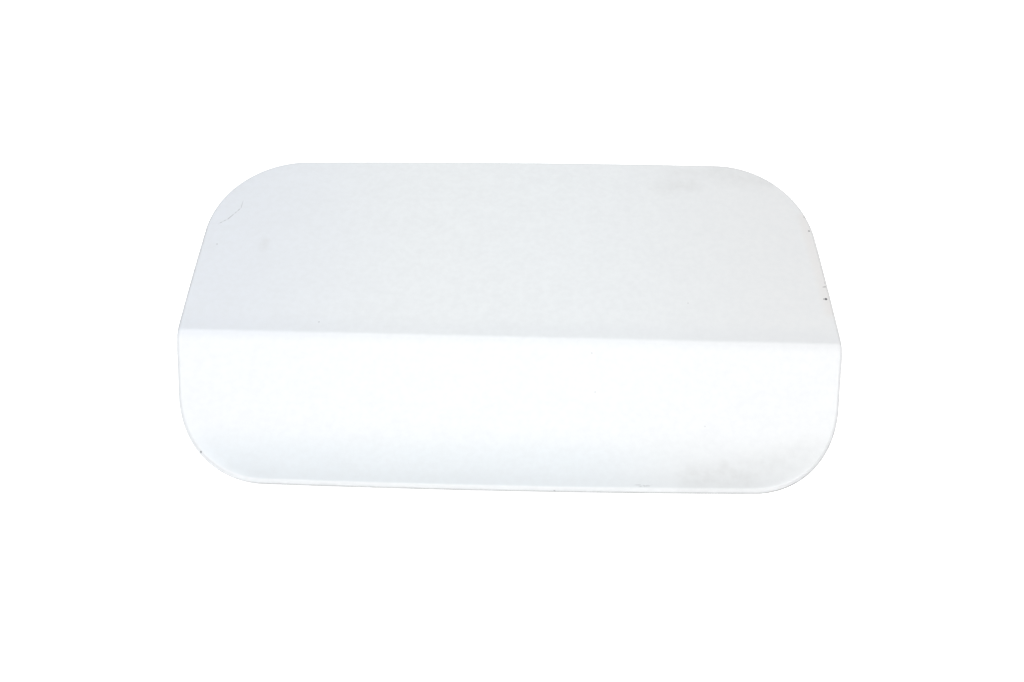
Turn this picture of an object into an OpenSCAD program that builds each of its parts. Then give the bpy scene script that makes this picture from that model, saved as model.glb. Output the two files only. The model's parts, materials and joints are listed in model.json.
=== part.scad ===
// Fuel filler flap: a pressed steel skin folded over a pressed inner panel.
// It lies outer face up. X runs along the crease, Y towards the flap's upper
// edge, Z up through the painted face. Z = 0 is the underside of the buffers.

/* [Outline] */
// Width of the flap at the crease
flap_w = 220; // [200:1:240]
// Height of the face above the crease
upper_h = 82; // [74:1:90]
// Height of the face below the crease
lower_h = 51; // [48:1:60]
// How far each side leans in by the upper edge
upper_lean = 5.5; // [0:0.5:8]
// How far each side leans in by the lower edge
lower_lean = 7; // [0:0.5:8]
// How much higher the face is at its right end than at its left end
end_rise = 5; // [0:0.5:6]
// Bulge of the upper edge between its corners
upper_bow = 0.7; // [0:0.1:1.5]
// Bulge of the lower edge between its corners
lower_bow = 0.7; // [0:0.1:1.5]
// Radius of each side where it turns at the crease
side_turn_r = 40; // [30:5:60]
// Half width of an upper corner
upper_corner_w = 32.5; // [30:0.5:40]
// Half height of an upper corner
upper_corner_h = 39; // [30:1:44]
// Half width of a lower corner
lower_corner_w = 31; // [29:1:36]
// Half height of a lower corner
lower_corner_h = 36; // [29:1:40]

/* [Face] */
// Drop from the crease to the upper edge
upper_fall = 5; // [3:0.5:8]
// Bulge of the face above the crease
upper_crown = 1.4; // [0.5:0.1:2.5]
// Drop from the crease to the lower edge
lower_fall = 9.4; // [7:0.2:12]
// Hollow of the face below the crease
lower_sag = 2.3; // [0.5:0.1:3]
// Half width of the rounding along the crease
crease_round = 1.3; // [0.8:0.1:2]

/* [Pressings] */
// Thickness of the steel sheet
sheet_t = 0.8; // [0.6:0.1:1]
// Gap on each side of the inner sheet in the hem
hem_gap = 0.05; // [0.04:0.01:0.1]
// Width of the hem's folded flange
hem_w = 8; // [6:0.5:9]
// Strip of inner panel that shows inside the hem
flange_show = 3; // [2:0.5:5]
// Run of the inner panel's drawn wall
wall_run = 8; // [7:0.5:9]
// Depth of the inner floor below the lower hem
floor_drop = 4.5; // [3:0.5:7]

/* [Hinge seat] */
// Distance of the hinge seat from the flap's left end
hinge_end = 46; // [43:1:48]
// Height of the hinge seat above the crease
hinge_y = 12; // [9:1:15]
// Width of the hinge plate
hinge_plate_w = 30; // [28:1:34]
// Height of the hinge plate
hinge_plate_h = 44; // [40:1:47]
// Radius of the hinge plate's corners
hinge_plate_r = 4; // [3:0.5:6]
// Thickness of the hinge plate
hinge_plate_t = 2; // [1.5:0.1:2.5]
// Height of the hinge plate's turned-up edges
hinge_lip_h = 4; // [3:0.5:5]
// Distance of the turned-up edges from the plate's ends
hinge_lip_end = 6; // [5:0.5:8]
// Depth by which the hinge seat is pressed down below the floor
seat_drop = 1.2; // [0.8:0.1:1.6]
// Gap between the hinge plate and the wall of its seat
seat_gap = 0.5; // [0.3:0.1:1]
// Distance between the two hinge screws
bolt_pitch = 30; // [26:1:32]
// Radius of the screw holes in the sheets
bolt_hole_r = 2.75; // [2.6:0.05:3]
// Radius of the weld nuts' bores
nut_bore_r = 2.5; // [2.1:0.1:2.5]
// Width of a weld nut across its flats
nut_flats = 8; // [8:0.5:10]
// Height of a weld nut
nut_h = 4; // [3.5:0.5:5]

/* [Lock socket] */
// Distance of the lock socket from the flap's right end
socket_end = 40; // [38:1:44]
// Height of the lock socket above the crease
socket_y = 12; // [8:1:16]
// Radius of the socket's bore
socket_bore_r = 5; // [4.5:0.1:5]
// Length of the bore's guiding wall
socket_guide = 5; // [4:0.5:6]
// Radius of the latching groove above the guide
socket_groove_r = 6; // [5.6:0.1:6.2]
// Height of the latching groove
socket_groove_h = 2.5; // [2:0.5:3]
// Radius of the socket's body
socket_body_r = 8; // [7.6:0.1:8.4]
// Gap between the socket's body and its hole in the floor
socket_gap = 0.2; // [0.1:0.05:0.3]
// Width and height of the socket's flange
socket_flange = 26; // [24:1:28]
// Thickness of the socket's flange
socket_flange_t = 1.4; // [1.2:0.1:1.8]

/* [Buffers and pads] */
// Distance of the buffers from the flap's ends
buffer_end = 36; // [34:1:39]
// Distance of the upper buffers from the upper edge
buffer_upper_edge = 31; // [30:1:33]
// Distance of the lower buffers from the lower edge
buffer_lower_edge = 30; // [29:1:31]
// Radius of a buffer's head
buffer_r = 6; // [5:0.5:7]
// How far the buffers stand proud of the inner floor
buffer_proud = 3; // [2.5:0.5:4]
// Radius of a buffer's neck
buffer_neck_r = 3; // [2.5:0.1:3.2]
// Distance of the drain holes from the flap's ends
drain_end = 56; // [54:1:59]
// Distance of the drain holes from the lower edge
drain_edge = 29; // [28:1:30]
// Radius of a drain hole
drain_r = 4; // [3.5:0.1:4.2]
// Gap between the hinge plate and the nearest islands
island_gap = 5; // [3:0.5:7]
// Distance of the upper mastic pads from the upper edge
pad_upper_edge = 42; // [40:1:44]
// Distance of the lower mastic pads from the lower edge
pad_lower_edge = 33; // [32:0.5:34]
// Radius of a mastic pad
pad_r = 5.5; // [5:0.5:6]
// Rim of an island's flat top round its mastic pad
pad_rim = 1; // [0.8:0.1:1.5]
// Thickness of mastic between an island and the skin
pad_gap = 2.5; // [2:0.5:3]
// Length by which the stiffening bead runs on past the outer islands' middles
bead_past = 5; // [0:1:6]
// Width of the bead's flat top
bead_w = 8; // [6:0.5:9]
// Height of the bead
bead_h = 4; // [3:0.5:5]

/* [Hidden] */

paint_white = [0.90, 0.92, 0.94];
primer_white = [0.84, 0.86, 0.88];
steel_grey = [0.62, 0.63, 0.65];
plastic_black = [0.08, 0.08, 0.085];
rubber_black = [0.05, 0.05, 0.055];
mastic_grey = [0.20, 0.20, 0.21];

half_w = flap_w / 2;
side_steps = 4;
corner_steps = 11;
bow_steps = 3;
bend_steps = 8;
wall_steps = 7;
crease_steps = 3;

// Length by which a cutting shape runs past the faces it opens
cut = 1;

// Hem: three sheets thick with a film of sealer on both sides of the middle one
hem_t = 3 * sheet_t + 2 * hem_gap;
hem_r = hem_t / 2;

// Heights from the standing plane
floor_z = buffer_proud;
floor_top = floor_z + sheet_t;
ridge_z = lower_fall + hem_t + floor_drop + floor_z;

// Places round the inner panel, measured inwards from the outline
inner_edge_d = hem_r;
flange_d = hem_w + flange_show;

// Slopes and curvatures of the painted face
upper_slope = (4 * upper_crown - upper_fall) / upper_h;
upper_bend = 4 * upper_crown / pow(upper_h, 2);
lower_slope = (lower_fall + 4 * lower_sag) / lower_h;
lower_bend = 4 * lower_sag / pow(lower_h, 2);
crease_turn = lower_slope - upper_slope;

// Slanted foot of the islands and the bead pressed up from the inner floor
island_foot = 4;
bead_foot = 3;
island_top_r = pad_r + pad_rim;

// Places of the hardware, from the crease and the middle of the flap
hinge_x = half_w - hinge_end;
socket_x = half_w - socket_end;
buffer_x = half_w - buffer_end;
buffer_upper_y = upper_h - buffer_upper_edge;
buffer_lower_y = lower_h - buffer_lower_edge;
drain_x = half_w - drain_end;
drain_y = lower_h - drain_edge;
pad_pitch = hinge_x - hinge_plate_w / 2 - island_gap - island_top_r - island_foot;
pad_upper_y = upper_h - pad_upper_edge;
pad_lower_y = lower_h - pad_lower_edge;
seat_top = floor_top - seat_drop;

// Height of the painted face over a point that far above the crease
function crease_fall(y) =
    y >= crease_round ? 0
    : y <= -crease_round ? crease_turn * y
    : -crease_turn * pow(crease_round - y, 2) / (4 * crease_round);
function face_z(y) =
    ridge_z + upper_slope * y + crease_fall(y)
    + (y > 0 ? -upper_bend * y * y : lower_bend * y * y);

// Right-hand side of the outline from the crease outwards, as [x, y, normal x, normal y]:
// a turn of large radius, a straight line, an elliptic corner and half of a bowed edge
function unit(v) = v / norm(v);
function turn_levels(y_end) =
    concat([for (i = [1 : crease_steps]) crease_round * i / crease_steps],
        [(crease_round + y_end) / 2, y_end]);
function half_side(h, lean, cw, ch, bow) =
    let (a = atan(lean / h),
        y_turn = side_turn_r * sin(a),
        x_line = half_w + side_turn_r * (1 / cos(a) - 1),
        u_side = atan(ch / cw * tan(a)),
        x_mid = half_w - lean - cw,
        slope = 2 * bow / x_mid,
        u_edge = bow == 0 ? 90 : atan(ch / cw / slope),
        y_drop = slope * x_mid / 2,
        yc = h - y_drop - ch * sin(u_edge),
        y_side = yc + ch * sin(u_side),
        xc = x_line - tan(a) * y_side - cw * cos(u_side),
        x_edge = xc + cw * cos(u_edge))
    concat(
        [for (y = turn_levels(y_turn)) let (n = y / side_turn_r)
            [half_w - side_turn_r * (1 - sqrt(1 - n * n)), y, sqrt(1 - n * n), n]],
        [for (i = [1 : side_steps]) let (y = y_turn + (y_side - y_turn) * i / (side_steps + 1))
            [x_line - tan(a) * y, y, cos(a), sin(a)]],
        [for (i = [0 : corner_steps])
            let (u = u_side + (u_edge - u_side) * i / corner_steps,
                n = unit([cos(u) / cw, sin(u) / ch]))
            [xc + cw * cos(u), yc + ch * sin(u), n[0], n[1]]],
        [for (i = [1 : bow_steps])
            let (x = x_edge * (1 - 2 * i / (2 * bow_steps + 1)),
                n = unit([slope * x / x_edge, 1]))
            [x, h - y_drop + slope * (x_edge - x * x / x_edge) / 2, n[0], n[1]]]);
function flipped(side) = [for (i = [len(side) - 1 : -1 : 0])
    [side[i][0], -side[i][1], side[i][2], -side[i][3]]];
right_side = concat(
    flipped(half_side(lower_h, lower_lean, lower_corner_w, lower_corner_h, lower_bow)),
    [[half_w, 0, 1, 0]],
    half_side(upper_h, upper_lean, upper_corner_w, upper_corner_h, upper_bow));
rows = len(right_side);
outline = concat(right_side, [for (i = [rows - 1 : -1 : 0])
    [-right_side[i][0], right_side[i][1], -right_side[i][2], right_side[i][3]]]);

// The upper half grows towards the right end
function grown_y(x, y) = y > 0 ? y * (1 + end_rise / 2 * x / half_w / upper_h) : y;
function placed(x, y, z) = [x, grown_y(x, y), z];
function inset(q, d) = [q[0] - d * q[2], q[1] - d * q[3]];

// One ring of points, d inside the outline and w above the painted face
function face_ring(d, w) = [for (q = outline)
    let (p = inset(q, d)) placed(p[0], p[1], face_z(p[1]) + w)];

// Closed solid over a stack of rings, its first and last ring capped row by row
function ring_faces(k) = let (n = 2 * rows)
    [for (i = [0 : n - 1], half = [0, 1])
        let (a = k * n + i, b = k * n + (i + 1) % n)
        half == 0 ? [a, b, b + n] : [a, b + n, a + n]];
function cap_faces(k, up) = let (n = 2 * rows, s = k * n)
    [for (j = [0 : rows - 2], half = [0, 1])
        let (r0 = s + j, r1 = s + j + 1, l0 = s + n - 1 - j, l1 = s + n - 2 - j,
            f = half == 0 ? [l0, l1, r1] : [l0, r1, r0])
        up ? f : [f[2], f[1], f[0]]];
// The finished flap stands with the middle of its outline over the origin
highest_y = max([for (q = outline) grown_y(q[0], q[1])]);
lowest_y = min([for (q = outline) q[1]]);
module in_frame() {
    translate([0, -(lowest_y + highest_y) / 2, 0]) children();
}
module ring_solid(rings) {
    last = len(rings) - 1;
    polyhedron(
        points = [for (r = rings) each r],
        faces = concat(cap_faces(0, true), [for (k = [0 : last - 1]) each ring_faces(k)],
            cap_faces(last, false)),
        convexity = 6);
}

// Outer skin: face, rounded fold and the flange turned back under the inner panel
module outer_skin() {
    fold = [for (i = [0 : bend_steps]) let (a = 180 * i / bend_steps)
        [hem_r - hem_r * sin(a), hem_r * cos(a) - hem_r]];
    inner_r = hem_r - sheet_t;
    inner_fold = [for (i = [bend_steps / 2 : -1 : 0]) let (a = 360 * i / bend_steps)
        [hem_r - inner_r * sin(a), inner_r * cos(a) - hem_r]];
    section = concat(fold, [[hem_w, -hem_t], [hem_w, sheet_t - hem_t]], inner_fold);
    color(paint_white)
        ring_solid([for (s = section) face_ring(s[0], s[1])]);
}

// Inner panel's upper surface: flange in the hem, then a drawn wall down to the floor.
// share runs from 0 at the flange's end to 1 on the floor.
function smooth(share) = share * share * (3 - 2 * share);
function smooth_rate(share) = 6 * share * (1 - share);
function wall_ring(share, thick) = [for (q = outline)
    let (top = face_z(inset(q, flange_d)[1]) - sheet_t - hem_gap,
        drop = top - floor_top,
        rate = -drop * smooth_rate(share) / wall_run,
        n = norm([rate, 1]),
        p = inset(q, flange_d + wall_run * share + thick * rate / n))
    placed(p[0], p[1], top - drop * smooth(share) - thick / n)];
module inner_tray() {
    top_w = -sheet_t - hem_gap;
    shares = [for (i = [0 : wall_steps]) i / wall_steps];
    ring_solid(concat(
        [for (i = [wall_steps : -1 : 0]) wall_ring(shares[i], 0)],
        [face_ring((inner_edge_d + flange_d) / 2, top_w), face_ring(inner_edge_d, top_w),
            face_ring(inner_edge_d, top_w - sheet_t),
            face_ring((inner_edge_d + flange_d) / 2, top_w - sheet_t)],
        [for (i = [0 : wall_steps]) wall_ring(shares[i], sheet_t)]));
}

// Islands are pressed up from the floor to carry the mastic pads
function skin_under(y) = face_z(y) - sheet_t;
function island_top(y) = skin_under(y) - pad_gap;
pad_spots = [for (side = [-1, 0, 1], row = [0, 1])
    [side * pad_pitch, row == 0 ? pad_upper_y : -pad_lower_y]];

// A pressing's outside stands on the floor's underside and its hollow runs out below it.
// grow is the sheet's thickness for the outside and 0 for the hollow.
function press_foot(grow) = grow > 0 ? floor_z : floor_z - cut;
function press_top(top, grow) = grow > 0 ? top : top - sheet_t;
module island(y, grow) {
    foot = press_foot(grow);
    translate([0, 0, foot])
        cylinder(h = press_top(island_top(y), grow) - foot,
            r1 = island_top_r + island_foot + grow, r2 = island_top_r + grow, $fn = 48);
}
module bead(grow) {
    mid_y = (pad_upper_y - pad_lower_y) / 2;
    foot = press_foot(grow);
    h = press_top(floor_z + bead_h, grow) - foot;
    r_top = bead_w / 2 + grow;
    r_foot = r_top + bead_foot;
    reach = pad_pitch + bead_past - bead_w / 2;
    translate([0, mid_y, foot]) {
        for (side = [-1, 1])
            translate([side * reach, 0, 0]) cylinder(h = h, r1 = r_foot, r2 = r_top, $fn = 48);
        rotate([90, 0, 90])
            translate([0, 0, -reach])
                linear_extrude(2 * reach)
                    polygon([[-r_foot, 0], [r_foot, 0], [r_top, h], [-r_top, h]]);
    }
}
module at_pad(spot) {
    translate([spot[0], grown_y(spot[0], spot[1]), 0]) children();
}
function buffer_spot(side, upper) = [side * buffer_x, upper ? buffer_upper_y : -buffer_lower_y];
buffer_spots = [for (side = [-1, 1], upper = [true, false]) buffer_spot(side, upper)];
bolt_spots = [for (s = [-1, 1]) [-hinge_x, hinge_y + s * bolt_pitch / 2]];
module floor_hole(spot, r) {
    translate([spot[0], spot[1], seat_top - 2 * sheet_t])
        cylinder(h = seat_drop + 3 * sheet_t, r = r, $fn = 48);
}
module rounded_plate(w, h, r, t) {
    linear_extrude(t) {
        square([w - 2 * r, h], center = true);
        square([w, h - 2 * r], center = true);
        for (sx = [-1, 1], sy = [-1, 1])
            translate([sx * (w / 2 - r), sy * (h / 2 - r)]) circle(r, $fn = 32);
    }
}

// The hinge seat is pressed down, so that nothing round it overhangs the hinge arm's foot
seat_w = hinge_plate_w + 2 * seat_gap;
seat_h = hinge_plate_h + 2 * seat_gap;
seat_r = hinge_plate_r + seat_gap;
module hinge_seat(grow, z, t) {
    translate([-hinge_x, hinge_y, z])
        rounded_plate(seat_w + 2 * grow, seat_h + 2 * grow, seat_r + grow, t);
}
module inner_panel() {
    color(primer_white)
    difference() {
        union() {
            inner_tray();
            hinge_seat(sheet_t, seat_top - sheet_t, seat_drop);
            for (spot = pad_spots) at_pad(spot) island(spot[1], sheet_t);
            bead(sheet_t);
        }
        for (spot = pad_spots) at_pad(spot) island(spot[1], 0);
        bead(0);
        hinge_seat(0, seat_top, seat_drop + cut);
        for (spot = buffer_spots) floor_hole(spot, buffer_neck_r);
        for (spot = bolt_spots) floor_hole(spot, bolt_hole_r);
        for (side = [-1, 1]) floor_hole([side * drain_x, -drain_y], drain_r);
        floor_hole([socket_x, socket_y], socket_body_r + socket_gap);
    }
}

// Hinge plate: stiffens the hinge seat, spot-welded in it inside the box
module hinge_plate() {
    color(steel_grey)
    translate([-hinge_x, hinge_y, seat_top])
    difference() {
        union() {
            rounded_plate(hinge_plate_w, hinge_plate_h, hinge_plate_r, hinge_plate_t);
            for (side = [-1, 1])
                translate([side * (hinge_plate_w - hinge_plate_t) / 2, 0, hinge_lip_h / 2])
                    cube([hinge_plate_t, hinge_plate_h - 2 * hinge_lip_end, hinge_lip_h], center = true);
        }
        for (s = [-1, 1])
            translate([0, s * bolt_pitch / 2, -cut])
                cylinder(h = hinge_plate_t + 2 * cut, r = bolt_hole_r, $fn = 48);
    }
}

// Hexagonal weld nut with a round collar
module weld_nut(spot) {
    hex_r = nut_flats / sqrt(3);
    collar_rim = 1.2;
    collar_h = 1;
    color(steel_grey)
    translate([spot[0], spot[1], seat_top + hinge_plate_t])
    difference() {
        union() {
            cylinder(h = nut_h, r = hex_r, $fn = 6);
            cylinder(h = collar_h, r = hex_r + collar_rim, $fn = 48);
        }
        translate([0, 0, -cut]) cylinder(h = nut_h + 2 * cut, r = nut_bore_r, $fn = 48);
    }
}

// Lock socket: takes the locking pin of the actuator from below
socket_roof = 1.5;
socket_h = socket_guide + socket_groove_h + socket_roof;
socket_z = floor_z - socket_flange_t;
clip_t = 0.6;
clip_cut = 0.8;
clip_play = 0.1;
clip_arm = 3;
clip_slot_z = floor_top;
module lock_socket() {
    corner_r = 3;
    color(plastic_black)
    translate([socket_x, socket_y, socket_z])
    difference() {
        union() {
            rounded_plate(socket_flange, socket_flange, corner_r, socket_flange_t);
            cylinder(h = socket_h, r = socket_body_r, $fn = 64);
        }
        translate([0, 0, -cut]) cylinder(h = socket_guide + cut, r = socket_bore_r, $fn = 64);
        translate([0, 0, socket_guide])
            cylinder(h = socket_groove_h, r = socket_groove_r, $fn = 64);
        for (side = [-1, 1])
            translate([side * socket_body_r, 0, clip_slot_z - socket_z + clip_t / 2])
                cube([2 * clip_cut, 2 * socket_body_r, clip_t], center = true);
    }
}

// Spring steel clip pushed across the body's two grooves, holding the socket to the floor
module socket_clip() {
    throat = 2 * (socket_body_r - clip_cut + clip_play);
    back_y = socket_body_r + clip_play;
    color(steel_grey)
    translate([socket_x, socket_y, clip_slot_z])
    linear_extrude(clip_t)
    difference() {
        translate([-throat / 2 - clip_arm, -socket_body_r])
            square([throat + 2 * clip_arm, socket_body_r + back_y + clip_arm]);
        translate([-throat / 2, -socket_body_r - cut])
            square([throat, socket_body_r + back_y + cut]);
    }
}

// Push-in rubber buffer: head below the floor, neck in the hole, barb above
module buffer(spot) {
    head_round = 1.2;
    round_steps = 4;
    barb_reach = 1.2;
    barb_h = 3.5;
    tip_r = buffer_neck_r - 0.8;
    rounding = [for (i = [0 : round_steps]) let (a = 90 * i / round_steps)
        [buffer_r - head_round + head_round * sin(a), head_round - head_round * cos(a)]];
    color(rubber_black)
    translate([spot[0], spot[1], 0])
    rotate_extrude($fn = 64)
        polygon(concat([[0, 0]], rounding,
            [[buffer_r, floor_z], [buffer_neck_r, floor_z], [buffer_neck_r, floor_top],
                [buffer_neck_r + barb_reach, floor_top], [tip_r, floor_top + barb_h],
                [0, floor_top + barb_h]]));
}

// Mastic pad: squeezed between an island and the skin, so its top follows the skin's slope
module mastic(spot) {
    y = spot[1];
    slope = (skin_under(y + 1) - skin_under(y - 1)) / 2;
    play = 0.1;
    far = 4 * pad_r;
    color(mastic_grey)
    at_pad(spot)
    difference() {
        translate([0, 0, island_top(y)])
            cylinder(h = 2 * pad_gap, r = pad_r, $fn = 48);
        translate([0, 0, skin_under(y) - play])
            rotate([atan(slope), 0, 0])
                translate([-far / 2, -far / 2, 0]) cube([far, far, far]);
    }
}

// Soft plug that closes a drain hole of the inner floor
module drain_plug(side) {
    head_r = drain_r + 2;
    head_t = 1.2;
    head_bevel = 0.6;
    barb_reach = 0.7;
    barb_h = 2;
    tip_r = drain_r - 0.5;
    hollow_r = drain_r - 1.5;
    color(rubber_black)
    translate([side * drain_x, -drain_y, 0])
    rotate_extrude($fn = 64)
        polygon([[0, floor_z - head_t], [head_r - head_bevel, floor_z - head_t],
            [head_r, floor_z - head_t + head_bevel], [head_r, floor_z], [drain_r, floor_z],
            [drain_r, floor_top], [drain_r + barb_reach, floor_top], [tip_r, floor_top + barb_h],
            [hollow_r, floor_top + barb_h], [hollow_r, floor_z], [0, floor_z]]);
}

in_frame() outer_skin();
in_frame() inner_panel();
in_frame() hinge_plate();
in_frame() weld_nut(bolt_spots[1]);  // weld_nut_upper
in_frame() weld_nut(bolt_spots[0]);  // weld_nut_lower
in_frame() lock_socket();
in_frame() socket_clip();
in_frame() buffer(buffer_spot(-1, true));  // buffer_upper_left
in_frame() buffer(buffer_spot(1, true));  // buffer_upper_right
in_frame() buffer(buffer_spot(-1, false));  // buffer_lower_left
in_frame() buffer(buffer_spot(1, false));  // buffer_lower_right
in_frame() mastic(pad_spots[0]);  // mastic_upper_left
in_frame() mastic(pad_spots[1]);  // mastic_lower_left
in_frame() mastic(pad_spots[2]);  // mastic_upper_middle
in_frame() mastic(pad_spots[3]);  // mastic_lower_middle
in_frame() mastic(pad_spots[4]);  // mastic_upper_right
in_frame() mastic(pad_spots[5]);  // mastic_lower_right
in_frame() drain_plug(-1);  // drain_plug_left
in_frame() drain_plug(1);  // drain_plug_right
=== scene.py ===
"""Looks of a fuel filler flap: glossy white paint over a hemmed steel skin, with its wear."""
import json
import math

import bmesh
import bpy
from mathutils import Matrix, Vector


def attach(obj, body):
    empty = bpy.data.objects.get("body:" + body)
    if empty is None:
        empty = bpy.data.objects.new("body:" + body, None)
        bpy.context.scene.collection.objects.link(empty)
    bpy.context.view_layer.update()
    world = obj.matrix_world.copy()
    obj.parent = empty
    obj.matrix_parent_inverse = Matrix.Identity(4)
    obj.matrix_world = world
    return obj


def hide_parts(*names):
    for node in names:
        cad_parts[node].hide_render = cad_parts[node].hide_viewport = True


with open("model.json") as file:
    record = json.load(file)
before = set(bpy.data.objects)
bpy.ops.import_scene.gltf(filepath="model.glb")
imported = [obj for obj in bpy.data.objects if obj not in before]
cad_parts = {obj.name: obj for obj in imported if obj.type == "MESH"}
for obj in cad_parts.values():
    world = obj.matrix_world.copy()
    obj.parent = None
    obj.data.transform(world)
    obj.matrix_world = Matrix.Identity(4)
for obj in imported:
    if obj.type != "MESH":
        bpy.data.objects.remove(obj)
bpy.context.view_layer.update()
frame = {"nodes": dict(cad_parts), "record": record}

MM = 0.001

# Sizes of the painted face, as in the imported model
RIDGE_Z = 19.4 * MM
CREASE_Y = -15.9777 * MM
HALF_W = 110 * MM
UPPER_H = 82 * MM
LOWER_H = 51 * MM
UPPER_LEAN = 5.5 * MM
LOWER_LEAN = 7 * MM
END_RISE = 5 * MM
EDGE_BOW = 0.7 * MM
SIDE_TURN_R = 40 * MM
UPPER_CORNER = (32.5 * MM, 39 * MM)
LOWER_CORNER = (31 * MM, 36 * MM)
UPPER_FALL = 5 * MM
UPPER_CROWN = 1.4 * MM
LOWER_FALL = 9.4 * MM
LOWER_SAG = 2.3 * MM
CREASE_ROUND = 1.3 * MM
SHEET_T = 0.8 * MM
HEM_T = 2.5 * MM
HEM_R = HEM_T / 2
HEM_W = 8 * MM
CUT_EDGE_R = 0.15 * MM

UPPER_SLOPE = (4 * UPPER_CROWN - UPPER_FALL) / UPPER_H
UPPER_BEND = 4 * UPPER_CROWN / UPPER_H ** 2
LOWER_SLOPE = (LOWER_FALL + 4 * LOWER_SAG) / LOWER_H
LOWER_BEND = 4 * LOWER_SAG / LOWER_H ** 2
CREASE_TURN = LOWER_SLOPE - UPPER_SLOPE

# How finely the skin is divided
COLUMNS = 44
CREASE_STEPS = 6
SIDE_STEPS = 12
CORNER_STEPS = 36
BOW_STEPS = 4
FOLD_STEPS = 14
INNER_FOLD_STEPS = 4

# Turns of the fold between which the painted shade on the rim's underside grows from none to full,
# how much earlier it starts at the lower right, and how much of it the flange underneath is spared
RIM_SHADE_TURNS = math.radians(72), math.radians(98)
RIM_SHADE_EARLIER = math.radians(30)
FLANGE_SPARED = 0.6

# The same turns for the painted dark line on the upper half's rims, how far such a rim must face
# sideways to carry it, and its strength
SIDE_SHADE_TURNS = math.radians(10), math.radians(36)
SIDEWAYS = 0.7, 0.95
SIDE_SHADE = 0.32

# Turns of the fold over which the painted shade low on the face ends
RIM_TURNS = math.radians(2), math.radians(16)

# The weld nuts' bore, the M5 thread in it, and how far the thread's sleeve goes into the wall
BORE_R = 2.5 * MM
CREST_R = 2.07 * MM
EASE_AT_ENDS = 0.3 * MM
PITCH = 0.8 * MM
INTO_WALL = 0.02 * MM
THREAD_COLUMNS = 32
ROWS_A_TURN = 8

# Where doubles are merged, flats joined and bends left sharp
MERGE = 0.002 * MM
FLAT_ANGLE = math.radians(0.4)
SHARP_ANGLE = math.radians(32)


def face_z(y):
    """Height of the painted face over a point that far above the crease."""
    if y >= CREASE_ROUND:
        fall = 0
    elif y <= -CREASE_ROUND:
        fall = CREASE_TURN * y
    else:
        fall = -CREASE_TURN * (CREASE_ROUND - y) ** 2 / (4 * CREASE_ROUND)
    bend = -UPPER_BEND if y > 0 else LOWER_BEND
    return RIDGE_Z + UPPER_SLOPE * y + fall + bend * y * y


def growth(x):
    """How much taller the upper half is there, as it grows towards the right end."""
    return 1 + END_RISE / 2 * x / HALF_W / UPPER_H


def placed(x, y, z):
    """A point of the flap, given from the middle of the crease, in the frame."""
    return Vector((x, (y * growth(x) if y > 0 else y) + CREASE_Y, z))


def on_face(along_mm, up_mm, drop_mm=0.0):
    """The point of the painted face that far along and above the crease, lowered by a drop."""
    x, y = along_mm * MM, up_mm * MM
    height = face_z(y / growth(x) if y > 0 else y)
    return Vector((x, y + CREASE_Y, height - drop_mm * MM))


def half_side(h, lean, corner):
    """A quarter of the outline, from the crease to mid-edge, as (x, y, normal x, normal y)."""
    cw, ch = corner
    a = math.atan(lean / h)
    y_turn = SIDE_TURN_R * math.sin(a)
    x_line = HALF_W + SIDE_TURN_R * (1 / math.cos(a) - 1)
    u_side = math.atan(ch / cw * math.tan(a))
    x_mid = HALF_W - lean - cw
    slope = 2 * EDGE_BOW / x_mid
    u_edge = math.atan(ch / cw / slope)
    y_drop = slope * x_mid / 2
    yc = h - y_drop - ch * math.sin(u_edge)
    y_side = yc + ch * math.sin(u_side)
    xc = x_line - math.tan(a) * y_side - cw * math.cos(u_side)
    x_edge = xc + cw * math.cos(u_edge)
    points = []
    levels = [CREASE_ROUND * (i + 1) / CREASE_STEPS for i in range(CREASE_STEPS)]
    for y in levels + [(CREASE_ROUND + y_turn) / 2, y_turn]:
        ny = y / SIDE_TURN_R
        nx = math.sqrt(1 - ny * ny)
        points.append((HALF_W - SIDE_TURN_R * (1 - nx), y, nx, ny))
    for i in range(1, SIDE_STEPS + 1):
        y = y_turn + (y_side - y_turn) * i / (SIDE_STEPS + 1)
        points.append((x_line - math.tan(a) * y, y, math.cos(a), math.sin(a)))
    for i in range(CORNER_STEPS + 1):
        u = u_side + (u_edge - u_side) * i / CORNER_STEPS
        nx, ny = Vector((math.cos(u) / cw, math.sin(u) / ch)).normalized()
        points.append((xc + cw * math.cos(u), yc + ch * math.sin(u), nx, ny))
    for i in range(1, BOW_STEPS + 1):
        x = x_edge * (1 - 2 * i / (2 * BOW_STEPS + 1))
        nx, ny = Vector((slope * x / x_edge, 1)).normalized()
        points.append((x, h - y_drop + slope * (x_edge - x * x / x_edge) / 2, nx, ny))
    return points


def outline_sides():
    """The outline's right side from its lowest point to its highest, and its left side likewise."""
    upper = half_side(UPPER_H, UPPER_LEAN, UPPER_CORNER)
    below = half_side(LOWER_H, LOWER_LEAN, LOWER_CORNER)
    lower = [(x, -y, nx, -ny) for x, y, nx, ny in reversed(below)]
    right = lower + [(HALF_W, 0, 1, 0)] + upper
    return right, [(-x, y, -nx, ny) for x, y, nx, ny in right]


def ring_point(q, d, w):
    """Point of the skin, d inside the outline's point q and w above the painted face."""
    x, y = q[0] - d * q[2], q[1] - d * q[3]
    return placed(x, y, face_z(y) + w)


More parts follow.
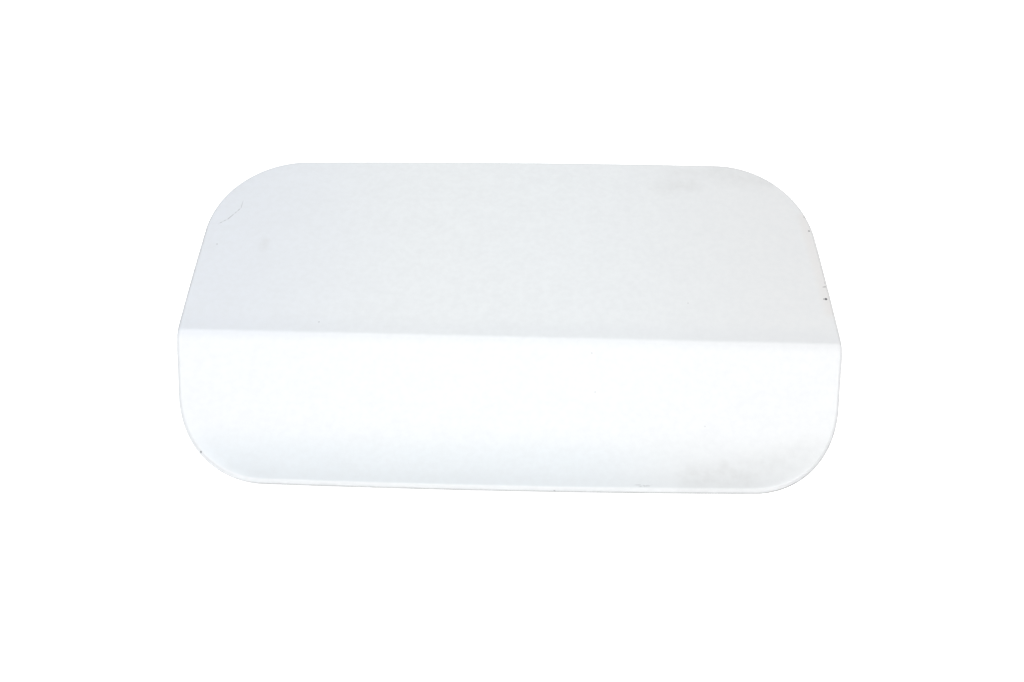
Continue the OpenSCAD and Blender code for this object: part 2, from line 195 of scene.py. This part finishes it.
def hem_section():
    """The skin's section past the face: how far inside the outline, how high, turn of the fold."""
    section = []
    for i in range(1, FOLD_STEPS + 1):
        a = math.pi * i / FOLD_STEPS
        section.append((HEM_R - HEM_R * math.sin(a), HEM_R * math.cos(a) - HEM_R, a))
    section += [(d, w, math.pi) for d, w in (
        (HEM_W / 2, -HEM_T), (HEM_W - CUT_EDGE_R, -HEM_T), (HEM_W, CUT_EDGE_R - HEM_T),
        (HEM_W, SHEET_T - HEM_T), (HEM_W / 2, SHEET_T - HEM_T))]
    inner_r = HEM_R - SHEET_T
    for i in range(INNER_FOLD_STEPS, -1, -1):
        a = math.pi * i / INNER_FOLD_STEPS
        section.append((HEM_R - inner_r * math.sin(a), inner_r * math.cos(a) - HEM_R, math.pi))
    return section


def share_between(low, high, at):
    """How far a number has come from low to high, from 0 to 1."""
    return min(max((at - low) / (high - low), 0), 1)


def rim_shade_at(turn, nx, ny):
    """Painted shade on the underside of the folded rim at a turn of the fold, where the outline
    faces towards nx, ny.

    A painted dark line is on the upper half's sides, and the upper right and lower left corners
    have no painted shade."""
    if ny > 0:
        gathered = share_between(*RIM_SHADE_TURNS, turn)
        sideways = share_between(*SIDEWAYS, abs(nx))
        painted_shade = SIDE_SHADE * share_between(*SIDE_SHADE_TURNS, turn) * sideways
    else:
        gathered = share_between(*RIM_SHADE_TURNS, turn + RIM_SHADE_EARLIER * max(nx, 0))
        painted_shade = 0
    left_on = 1 - FLANGE_SPARED * share_between(math.pi / 2, math.pi, turn)
    # No painted shade towards the upper right and lower left corners
    towards_corner = 2 * max(nx * ny, 0)
    return max(gathered * left_on, painted_shade) * (1 - towards_corner)


def mesh_object(bm, name):
    """Turns a bmesh into a smoothly shaded object at the origin."""
    mesh = bpy.data.meshes.new(name)
    bm.to_mesh(mesh)
    bm.free()
    mesh.shade_smooth()
    piece = bpy.data.objects.new(name, mesh)
    bpy.context.scene.collection.objects.link(piece)
    return piece


def face_grid(bm):
    """Lays a grid between the outline's sides. Returns its border points' places on the outline."""
    right, left = outline_sides()
    rows = len(right)
    across = COLUMNS + 1
    bmesh.ops.create_grid(bm, x_segments=COLUMNS, y_segments=rows - 1, size=1)
    grid = sorted(bm.verts, key=lambda v: (round(v.co.y, 6), round(v.co.x, 6)))
    outline = {}
    for row in range(rows):
        a, b = left[row], right[row]
        start, end = ring_point(a, HEM_R, 0), ring_point(b, HEM_R, 0)
        for column in range(across):
            share = column / COLUMNS
            point = grid[row * across + column]
            point.co = start.lerp(end, share)
            if point.is_boundary:
                nx, ny = Vector((a[2], a[3])).lerp(Vector((b[2], b[3])), share).normalized()
                outline[point] = (a[0] + (b[0] - a[0]) * share, a[1], nx, ny)
    return outline


def build_skin():
    """The outer skin: a grid for its face, its hem extruded ring by ring, and its inside."""
    bm = bmesh.new()
    bm.verts.layers.float.new("rim_shade")
    bm.verts.layers.float.new("folded")
    rim_shade, folded = (bm.verts.layers.float[name] for name in ("rim_shade", "folded"))
    outline = face_grid(bm)
    face = list(bm.faces)
    edges = [e for e in bm.edges if e.is_boundary]
    for d, w, turn in hem_section():
        grown = bmesh.ops.extrude_edge_only(bm, edges=edges)["geom"]
        moved = {}
        for v in (g for g in grown if isinstance(g, bmesh.types.BMVert)):
            old = next(e.other_vert(v) for e in v.link_edges if e.other_vert(v) in outline)
            moved[v] = outline[old]
            v.co = ring_point(outline[old], d, w)
            # The rim's painted shade, kept on each vertex
            v[rim_shade] = rim_shade_at(turn, *outline[old][2:])
            v[folded] = share_between(*RIM_TURNS, turn)
        outline = moved
        edges = [g for g in grown if isinstance(g, bmesh.types.BMEdge) and g.is_boundary]
    copied = bmesh.ops.duplicate(bm, geom=face)["geom"]
    inside = [g for g in copied if isinstance(g, bmesh.types.BMVert)]
    bmesh.ops.translate(bm, verts=inside, vec=(0, 0, -SHEET_T))
    rim = [v for v in bm.verts if v.is_boundary]
    bmesh.ops.remove_doubles(bm, verts=rim, dist=MERGE)
    bmesh.ops.recalc_face_normals(bm, faces=bm.faces)
    return mesh_object(bm, "painted_skin")


def close_loops(bm, radius, middle):
    """Closes a tube: grows both its border rings out to a radius and joins them by a wall."""
    rings = bmesh.ops.extrude_edge_only(bm, edges=[e for e in bm.edges if e.is_boundary])["geom"]
    for v in (g for g in rings if isinstance(g, bmesh.types.BMVert)):
        v.co.xy = middle + (v.co.xy - middle).normalized() * radius
    bmesh.ops.bridge_loops(bm, edges=[e for e in bm.edges if e.is_boundary])


def add_thread(piece):
    """Adds the thread to a weld nut: a closed sleeve with a helical inside, against the bore."""
    corners = [Vector(c) for c in piece.bound_box]
    middle = ((corners[0] + corners[6]) / 2).xy
    bottom, top = corners[0].z + EASE_AT_ENDS, corners[6].z - EASE_AT_ENDS
    rows = round((top - bottom) / PITCH * ROWS_A_TURN)
    bm = bmesh.new()
    bmesh.ops.create_grid(bm, x_segments=THREAD_COLUMNS, y_segments=rows, size=1)
    for v in bm.verts:
        turn, up = (v.co.x + 1) / 2, (v.co.y + 1) / 2 * (top - bottom)
        ridge = 1 - abs((up / PITCH - turn) % 1 * 2 - 1)
        radius = BORE_R - (BORE_R - CREST_R) * ridge
        around = 2 * math.pi * turn
        v.co.xy = middle + Vector((math.cos(around), math.sin(around))) * radius
        v.co.z = bottom + up
    bmesh.ops.remove_doubles(bm, verts=bm.verts, dist=MERGE)
    close_loops(bm, BORE_R + INTO_WALL, middle)
    bmesh.ops.recalc_face_normals(bm, faces=bm.faces)
    bm.from_mesh(piece.data)
    bm.to_mesh(piece.data)
    bm.free()


def finer_copy(node, edge_round):
    """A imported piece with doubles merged, flats joined, edges eased and bends smooth."""
    bm = bmesh.new()
    bm.from_mesh(frame["nodes"][node].data)
    bmesh.ops.remove_doubles(bm, verts=bm.verts, dist=MERGE)
    bmesh.ops.dissolve_limit(bm, angle_limit=FLAT_ANGLE, verts=bm.verts, edges=bm.edges)
    if edge_round:
        corners = [e for e in bm.edges if e.calc_face_angle(0) > SHARP_ANGLE]
        bmesh.ops.bevel(bm, geom=corners, offset=edge_round, offset_type="OFFSET", segments=2,
                        profile=0.5, affect="EDGES", material=-1, clamp_overlap=True)
    piece = mesh_object(bm, node + "_finished")
    piece.data.set_sharp_from_angle(angle=SHARP_ANGLE)
    weighted = piece.modifiers.new("even_shading", "WEIGHTED_NORMAL")
    weighted.keep_sharp = True
    return piece


class Value:
    """One socket of a node tree, with the arithmetic that the finishes and the light use."""

    def __init__(self, tree, socket):
        self.tree = tree
        self.socket = socket

    def maths(self, operation, *others):
        inputs = dict(enumerate((self,) + others))
        return self.tree.node("ShaderNodeMath", {"operation": operation}, inputs)

    def __add__(self, other):
        return self.maths("ADD", other)

    __radd__ = __add__

    def __sub__(self, other):
        return self.maths("SUBTRACT", other)

    def __rsub__(self, other):
        return self * -1 + other

    def __mul__(self, other):
        return self.maths("MULTIPLY", other)

    __rmul__ = __mul__

    def __truediv__(self, other):
        return self.maths("DIVIDE", other)

    def most(self, other):
        return self.maths("MAXIMUM", other)

    def least(self, other):
        return self.maths("MINIMUM", other)

    def size(self):
        return self.maths("ABSOLUTE")

    def rise(self, low, high):
        """Runs smoothly from 0 at low to 1 at high, or the other way round if low is the larger."""
        if low > high:
            return 1 - self.rise(high, low)
        inputs = {"Value": self, "From Min": low, "From Max": high}
        return self.tree.node("ShaderNodeMapRange", {"interpolation_type": "SMOOTHSTEP"}, inputs)

    def vector(self, operation, *others, output=0):
        inputs = dict(enumerate((self,) + others))
        return self.tree.node("ShaderNodeVectorMath", {"operation": operation}, inputs, output)

    def distance(self, point):
        return self.vector("DISTANCE", tuple(point), output="Value")

    def distance_to_line(self, start, end):
        """Distance from the straight line between two points."""
        along = end - start
        offset = self.vector("SUBTRACT", tuple(start))
        share = offset.vector("DOT_PRODUCT", tuple(along / along.length_squared), output="Value")
        nearest = self.tree.node("ShaderNodeVectorMath", {"operation": "SCALE"},
                                 {0: tuple(along), "Scale": share.most(0).least(1)})
        return offset.vector("SUBTRACT", nearest).vector("LENGTH", output="Value")


class Tree:
    """The node tree of a material or of the world."""

    def __init__(self, owner):
        owner.use_nodes = True
        self.nodes = owner.node_tree.nodes
        self.links = owner.node_tree.links
        self.nodes.clear()

    def node(self, kind, settings=None, inputs=None, output=0):
        made = self.nodes.new(kind)
        for name, value in (settings or {}).items():
            setattr(made, name, value)
        for key, value in (inputs or {}).items():
            if isinstance(value, Value):
                self.links.new(value.socket, made.inputs[key])
            else:
                made.inputs[key].default_value = value
        return Value(self, made.outputs[output]) if made.outputs else made

    def noise(self, place, scale, detail=2.0):
        inputs = {"Vector": place, "Scale": scale, "Detail": detail}
        return self.node("ShaderNodeTexNoise", None, inputs)

    def mix(self, share, a, b):
        return self.node("ShaderNodeMix", {"data_type": "RGBA"}, {0: share, 6: a, 7: b}, 2)

    def object_place(self):
        return self.node("ShaderNodeTexCoord", output="Object")

    def part_of(self, vector, axis):
        return self.node("ShaderNodeSeparateXYZ", None, {0: vector}, axis)


def colour(red, green, blue):
    return (red, green, blue, 1.0)


# Painted light in the paint's white: a cooler painted tint at the left end, painted shade greyer at
# the right, and a brighter, more neutral painted white below the crease
LEFT_WHITE = colour(0.785, 0.822, 0.874)
MIDDLE_WHITE = colour(0.849, 0.881, 0.898)
RIGHT_WHITE = colour(0.808, 0.818, 0.824)
PAINTED_LIGHT_WHITE = colour(0.87, 0.885, 0.9)
MOTTLE = colour(0.71, 0.73, 0.75)
PAINT_ROUGHNESS, PAINT_IOR = 0.1, 1.7

# What lies on the paint: painted shade low on the face, darker by the edge, for the darker
# reflection there, painted shade just above the crease, a stain, smudges and painted shade on the
# rim's fold. Bare marks show what is under the paint.
LEFT_LOW_SHADE = colour(0.62, 0.78, 0.88)
RIGHT_LOW_SHADE = colour(0.68, 0.73, 0.74)
EDGE_LOW_SHADE = colour(0.56, 0.6, 0.62)
CREASE_SHADE = colour(0.6, 0.63, 0.69)
STAIN = colour(0.78, 0.755, 0.74)
SMUDGE = colour(0.58, 0.585, 0.58)
RIM_SHADE = colour(0.16, 0.165, 0.16)
BARE = colour(0.05, 0.052, 0.062)

# Where each of these begins and is full, along the face and below the crease, and its strength
LEFT_END, RIGHT_END = (-HALF_W, -0.2 * HALF_W), (0.1 * HALF_W, HALF_W)
LOW_SHADE_CHANGES = 0.15 * HALF_W, 0.6 * HALF_W
# Painted light: a brighter, more neutral white below the crease
PAINTED_LIGHT_BELOW, PAINTED_LIGHT_STRENGTH = (-1 * MM, 4 * MM), 0.6
# Painted shade low on the face, darker by the edge
LOW_SHADE_BELOW, LOW_SHADE_STRENGTH = (28 * MM, 41 * MM), 0.19
EDGE_LOW_SHADE_BELOW, EDGE_LOW_SHADE_STRENGTH = (42 * MM, 50 * MM), 0.12
# Painted shade in a band just above the crease
CREASE_SHADE_ABOVE, CREASE_SHADE_BELOW, CREASE_SHADE_STRENGTH = (-9 * MM, -2.5 * MM), (3.2 * MM, 0.4 * MM), 0.12

# Scales of the noises in the paint, its wear and its relief, the depth of that relief, and the
# range of a noise that most of its values lie in
COARSE_MOTTLE, FINE_MOTTLE = 110, 480
SMUDGE_CLOUD, RIM_SHADE_PATCHES, SCRATCH_BREAKS = 300, 320, 1400
FINE_PEEL, COARSE_PEEL = 230, 60
PEEL_DEPTH = 0.03 * MM
NOISE_RANGE = 0.25, 0.75

# Wear on the painted face, by its place in mm along the crease and above it. A chip then has its
# drop down the fold and its radius, a stroke its end and its half width. All end in a strength.
CHIPS = (
    (106.9, 18.9, 0.0, 0.6, 1.0), (106.2, 18.9, 0.0, 0.32, 0.8),
    (-97.95, -40.3, 0.33, 0.45, 0.75), (105.15, -29.3, 0.78, 0.4, 0.7),
    (104.4, 56.5, 0.0, 0.32, 0.6), (105.2, 49.7, 0.0, 0.42, 0.8),
    (14.2, -50.95, 0.95, 0.4, 0.5), (-63.8, 4.5, 0.0, 0.34, 0.3),
    (-101.9, 36.9, 0.0, 0.36, 0.3), (26.6, -4.4, 0.0, 0.26, 0.3),
    (27.6, -17.2, 0.0, 0.26, 0.3), (59.6, 15.8, 0.0, 0.3, 0.25), (63.1, -28.0, 0.0, 0.3, 0.2))
SCRATCHES = (
    (-102.9, 46.3, -99.8, 48.8, 0.2, 0.35), (-99.8, 48.8, -97.7, 51.8, 0.2, 0.5),
    (-97.7, 51.8, -96.0, 54.3, 0.2, 0.45), (-96.0, 54.3, -95.7, 57.8, 0.18, 0.3),
    (106.6, 24.1, 108.2, 24.3, 0.22, 0.8), (107.4, 25.9, 108.3, 26.0, 0.2, 0.6),
    (39.4, -48.9, 41.4, -48.7, 0.3, 0.17), (41.0, -49.2, 43.9, -49.1, 0.5, 0.24),
    (43.4, -49.3, 45.0, -48.7, 0.3, 0.2))
SMUDGES = (
    (54.0, 70.2, 65.0, 71.8, 7.0, 0.25), (76.0, 78.5, 92.0, 74.5, 9.0, 0.22),
    (58.0, 78.0, 70.0, 78.5, 5.0, 0.15), (-85.7, 35.8, -85.6, 38.4, 3.5, 0.22),
    (58.0, -46.0, 76.0, -45.5, 8.0, 0.36), (68.5, -41.5, 69.8, -46.5, 4.5, 0.28),
    (74.0, -44.0, 98.0, -36.0, 10.0, 0.22))
EDGE_STAIN = (103.8, 56.5, 107.6, 13.0, 3.2, 0.55)


def stroke(place, x0, y0, x1, y1, half_width, sharpness):
    """1 along a straight stroke over the painted face, falling to 0 at its half width.

    The sharpness is the share of the half width that is still 1."""
    away = place.distance_to_line(on_face(x0, y0), on_face(x1, y1))
    return away.rise(half_width * MM, half_width * sharpness * MM)


def bare_marks(tree, place):
    """How far the paint is off: chips right through it, and scratches that come and go."""
    bare = 0
    for along, up, drop, radius, strength in CHIPS:
        spot = place.distance(on_face(along, up, drop)).rise(radius * MM, radius * 0.5 * MM)
        bare = (spot * strength).most(bare)
    broken = tree.noise(place, SCRATCH_BREAKS).rise(0.38, 0.6) * 0.8 + 0.2
    for *run, strength in SCRATCHES:
        bare = (stroke(place, *run, 0.4) * broken * strength).most(bare)
    return bare


def dirt(tree, place):
    """Soft grey smudges, broken up by the paint's grain."""
    cloud = tree.noise(place, SMUDGE_CLOUD, 6.0).rise(*NOISE_RANGE)
    total = 0
    for *run, strength in SMUDGES:
        total = (stroke(place, *run, 0.0) * strength).most(total)
    return total * (cloud * 0.7 + 0.35)


def painted_shade_tint(tree, place):
    """The paint's white along the face, with painted shade low on it and just above the crease."""
    along = tree.part_of(place, "X")
    # Painted light: a cooler tint at the left end, and painted shade greyer at the right end
    left_tint = tree.mix(along.rise(*LEFT_END), LEFT_WHITE, MIDDLE_WHITE)
    end_shade_tint = tree.mix(along.rise(*RIGHT_END), left_tint, RIGHT_WHITE)
    below = CREASE_Y - tree.part_of(place, "Y")
    # Painted light: a brighter, more neutral white below the crease
    painted_light_tint = tree.mix(below.rise(*PAINTED_LIGHT_BELOW) * PAINTED_LIGHT_STRENGTH, end_shade_tint, PAINTED_LIGHT_WHITE)
    unfolded = 1 - tree.node("ShaderNodeAttribute", {"attribute_name": "folded"}, output="Fac")
    # Painted shade low on the face, darker by the edge, for the darker reflection there
    painted_shade = tree.mix(along.rise(*LOW_SHADE_CHANGES), LEFT_LOW_SHADE, RIGHT_LOW_SHADE)
    by_edge = below.rise(*LOW_SHADE_BELOW) * unfolded * LOW_SHADE_STRENGTH
    low_shaded = tree.mix(by_edge, painted_light_tint, painted_shade)
    at_edge = below.rise(*EDGE_LOW_SHADE_BELOW) * unfolded * EDGE_LOW_SHADE_STRENGTH
    edge_shaded = tree.mix(at_edge, low_shaded, EDGE_LOW_SHADE)
    # Painted shade in a band just above the crease
    by_crease = below.rise(*CREASE_SHADE_ABOVE) * below.rise(*CREASE_SHADE_BELOW) * CREASE_SHADE_STRENGTH
    return tree.mix(by_crease, edge_shaded, CREASE_SHADE)


def gloss_paint():
    """White car paint under clear lacquer: with painted light and shade along the face, slightly
    orange-peeled, worn.
    """
    material = bpy.data.materials.new("gloss_white_paint")
    tree = Tree(material)
    place = tree.object_place()
    tint = painted_shade_tint(tree, place)
    coarse = tree.noise(place, COARSE_MOTTLE, 3.0).rise(*NOISE_RANGE)
    fine = tree.noise(place, FINE_MOTTLE, 4.0).rise(*NOISE_RANGE)
    paint = tree.mix((coarse * 0.3 + fine * 0.7) * 0.3, tint, MOTTLE)
    *run, stain_strength = EDGE_STAIN
    stained = tree.mix(stroke(place, *run, 0.0) * stain_strength, paint, STAIN)
    smudged = tree.mix(dirt(tree, place), stained, SMUDGE)
    # Painted shade on the rim's fold and the painted dark line on the upper sides
    rim_shade = tree.node("ShaderNodeAttribute", {"attribute_name": "rim_shade"}, output="Fac")
    patches = tree.noise(place, RIM_SHADE_PATCHES, 3.0).rise(0.2, 0.7) * 0.35 + 0.6
    rim_shaded = tree.mix(rim_shade * patches, smudged, RIM_SHADE)
    bare = bare_marks(tree, place)
    surface = tree.mix(bare, rim_shaded, BARE)
    peel = tree.noise(place, FINE_PEEL, 1.5) * 1.3 + tree.noise(place, COARSE_PEEL, 1.0) * 4
    relief = tree.node("ShaderNodeBump", None, {
        "Strength": 1.0, "Distance": PEEL_DEPTH, "Height": peel - bare * 1.5})
    shader = tree.node("ShaderNodeBsdfPrincipled", None, {
        "Base Color": surface, "Roughness": bare * 0.4 + PAINT_ROUGHNESS, "Normal": relief,
        "IOR": PAINT_IOR})
    tree.node("ShaderNodeOutputMaterial", None, {"Surface": shader})
    return material


def plain_finish(name, dark, light, scale, roughness, metallic, grain):
    """A finish whose colour, roughness and relief vary a little over the surface."""
    spread = 0.16
    material = bpy.data.materials.new(name)
    tree = Tree(material)
    place = tree.object_place()
    blotches = tree.noise(place, scale, 3.0)
    relief = tree.node("ShaderNodeBump", None, {
        "Strength": 1.0, "Distance": grain, "Height": tree.noise(place, scale * 10)})
    shader = tree.node("ShaderNodeBsdfPrincipled", None, {
        "Base Color": tree.mix(blotches, dark, light), "Metallic": metallic,
        "Roughness": blotches * spread + (roughness - spread / 2), "Normal": relief})
    tree.node("ShaderNodeOutputMaterial", None, {"Surface": shader})
    return material


# Each finish of the hidden pieces: its name, darkest and lightest colour, scale of its blotches,
# roughness, metallic share and depth of grain, and how far the edges of its pieces are eased
HIDDEN_FINISHES = {
    "inner_paint": (("satin_white_paint", colour(0.70, 0.72, 0.75), colour(0.76, 0.775, 0.79),
                     60, 0.36, 0.0, 0.012 * MM), 0),
    "zinc_steel": (("zinc_plated_steel", colour(0.42, 0.43, 0.45), colour(0.58, 0.59, 0.61),
                    350, 0.36, 1.0, 0.008 * MM), 0.15 * MM),
    "black_plastic": (("moulded_black_plastic", colour(0.016, 0.016, 0.018),
                       colour(0.030, 0.030, 0.033), 420, 0.48, 0.0, 0.02 * MM), 0.2 * MM),
    "black_rubber": (("black_rubber", colour(0.012, 0.012, 0.013), colour(0.024, 0.024, 0.026),
                      500, 0.72, 0.0, 0.02 * MM), 0.12 * MM),
    "grey_mastic": (("grey_mastic", colour(0.07, 0.07, 0.075), colour(0.12, 0.12, 0.125),
                     240, 0.82, 0.0, 0.1 * MM), 0.4 * MM),
}


def finish_pieces():
    """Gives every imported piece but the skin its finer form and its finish."""
    finishes = {slot: plain_finish(*looks) for slot, (looks, _) in HIDDEN_FINISHES.items()}
    for part in frame["record"]["subparts"]:
        node, slot = part["node"], part["material_slot"]
        if slot in finishes:
            piece = finer_copy(node, HIDDEN_FINISHES[slot][1])
            if node.startswith("weld_nut"):
                add_thread(piece)
            piece.data.materials.clear()
            piece.data.materials.append(finishes[slot])
            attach(piece, "root")
            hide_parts(node)


def set_table():
    """A white table far larger than the view, lit as any surface but over-exposed to the eye."""
    half_size, over_exposure, white = 3, 0.7, colour(0.8, 0.8, 0.8)
    bm = bmesh.new()
    bmesh.ops.create_grid(bm, x_segments=1, y_segments=1, size=half_size)
    table = mesh_object(bm, "table")
    material = bpy.data.materials.new("white_table")
    tree = Tree(material)
    camera_ray = tree.node("ShaderNodeLightPath", output="Is Camera Ray")
    glossy_ray = tree.node("ShaderNodeLightPath", output="Is Glossy Ray")
    lit = tree.node("ShaderNodeBsdfDiffuse", None, {"Color": white})
    glow = tree.node("ShaderNodeEmission", None, {
        "Color": colour(1, 1, 1), "Strength": over_exposure})
    bounced = tree.node("ShaderNodeBsdfDiffuse", None, {"Color": white})
    seen = tree.node("ShaderNodeAddShader", None, {0: lit, 1: glow})
    both = tree.node("ShaderNodeMixShader", None, {
        0: camera_ray.most(glossy_ray), 1: bounced, 2: seen})
    tree.node("ShaderNodeOutputMaterial", None, {"Surface": both})
    table.data.materials.append(material)


def set_light():
    """A pale ceiling, a soft box overhead whose light fades slowly backwards, and one in front.

    Each edge is a pair: where its light is none, and where it is full."""
    ceiling, overhead, front, walls = 0.57, 1.45, 1.4, 0.1
    back_edge, near_edge, side_edges = (0.5, 0.22), (-0.35, -0.12), (1.1, 0.5)
    low_edge, high_edge, front_sides = (0.12, 0.3), (1.2, 0.8), (1.3, 0.8)
    ceiling_edge, wall_edge = (0.1, 0.55), (-0.1, 0.0)
    least_share = 0.02
    world = bpy.data.worlds.new("studio")
    bpy.context.scene.world = world
    room = Tree(world)
    toward = room.node("ShaderNodeTexCoord", output="Generated")
    x, y, z = (room.part_of(toward, axis) for axis in "XYZ")
    above = z.most(least_share)
    before = (y * -1).most(least_share)
    lean = y / above
    box_above = lean.rise(*back_edge) * lean.rise(*near_edge) * (x / above).size().rise(*side_edges)
    height = z / before
    box_before = height.rise(*low_edge) * height.rise(*high_edge)
    box_before = box_before * (x / before).size().rise(*front_sides)
    light = box_above * overhead + box_before * front
    light = light + z.rise(*ceiling_edge) * ceiling + z.rise(*wall_edge) * walls
    camera_ray = room.node("ShaderNodeLightPath", output="Is Camera Ray")
    background = room.node("ShaderNodeBackground", None, {
        "Color": colour(1, 1, 1), "Strength": light * (1 - camera_ray) + camera_ray})
    room.node("ShaderNodeOutputWorld", None, {"Surface": background})


def set_camera():
    """The photograph's view: from the front and well above."""
    focal_px, width_px, height_px = 1300, 1024, 682
    centre_px = (511.45, 337.55)
    elevation, azimuth, roll = (math.radians(angle) for angle in (55.65, -2.12, 3.06))
    distance = 0.4292
    sensor_mm = 36
    camera = bpy.data.objects.new("camera", bpy.data.cameras.new("camera"))
    bpy.context.scene.collection.objects.link(camera)
    level = math.cos(elevation)
    back = Vector((math.sin(azimuth) * level, -math.cos(azimuth) * level, math.sin(elevation)))
    right = Vector((math.cos(azimuth), math.sin(azimuth), 0))
    up = back.cross(right)
    turned = right * math.cos(roll) + up * math.sin(roll)
    upright = up * math.cos(roll) - right * math.sin(roll)
    stand = Vector((0, CREASE_Y, RIDGE_Z)) + back * distance
    aim = Matrix((turned, upright, back)).transposed()
    camera.matrix_world = Matrix.Translation(stand) @ aim.to_4x4()
    camera.data.sensor_width = sensor_mm
    camera.data.lens = focal_px * sensor_mm / width_px
    camera.data.shift_x = (width_px / 2 - centre_px[0]) / width_px
    camera.data.shift_y = (centre_px[1] - height_px / 2) / width_px
    camera.data.clip_start = 0.01
    bpy.context.scene.camera = camera


skin = build_skin()
skin.data.materials.append(gloss_paint())
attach(skin, "root")
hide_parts("outer_skin")
finish_pieces()
set_table()
set_light()
set_camera()
bpy.context.scene.view_settings.view_transform = "Standard"
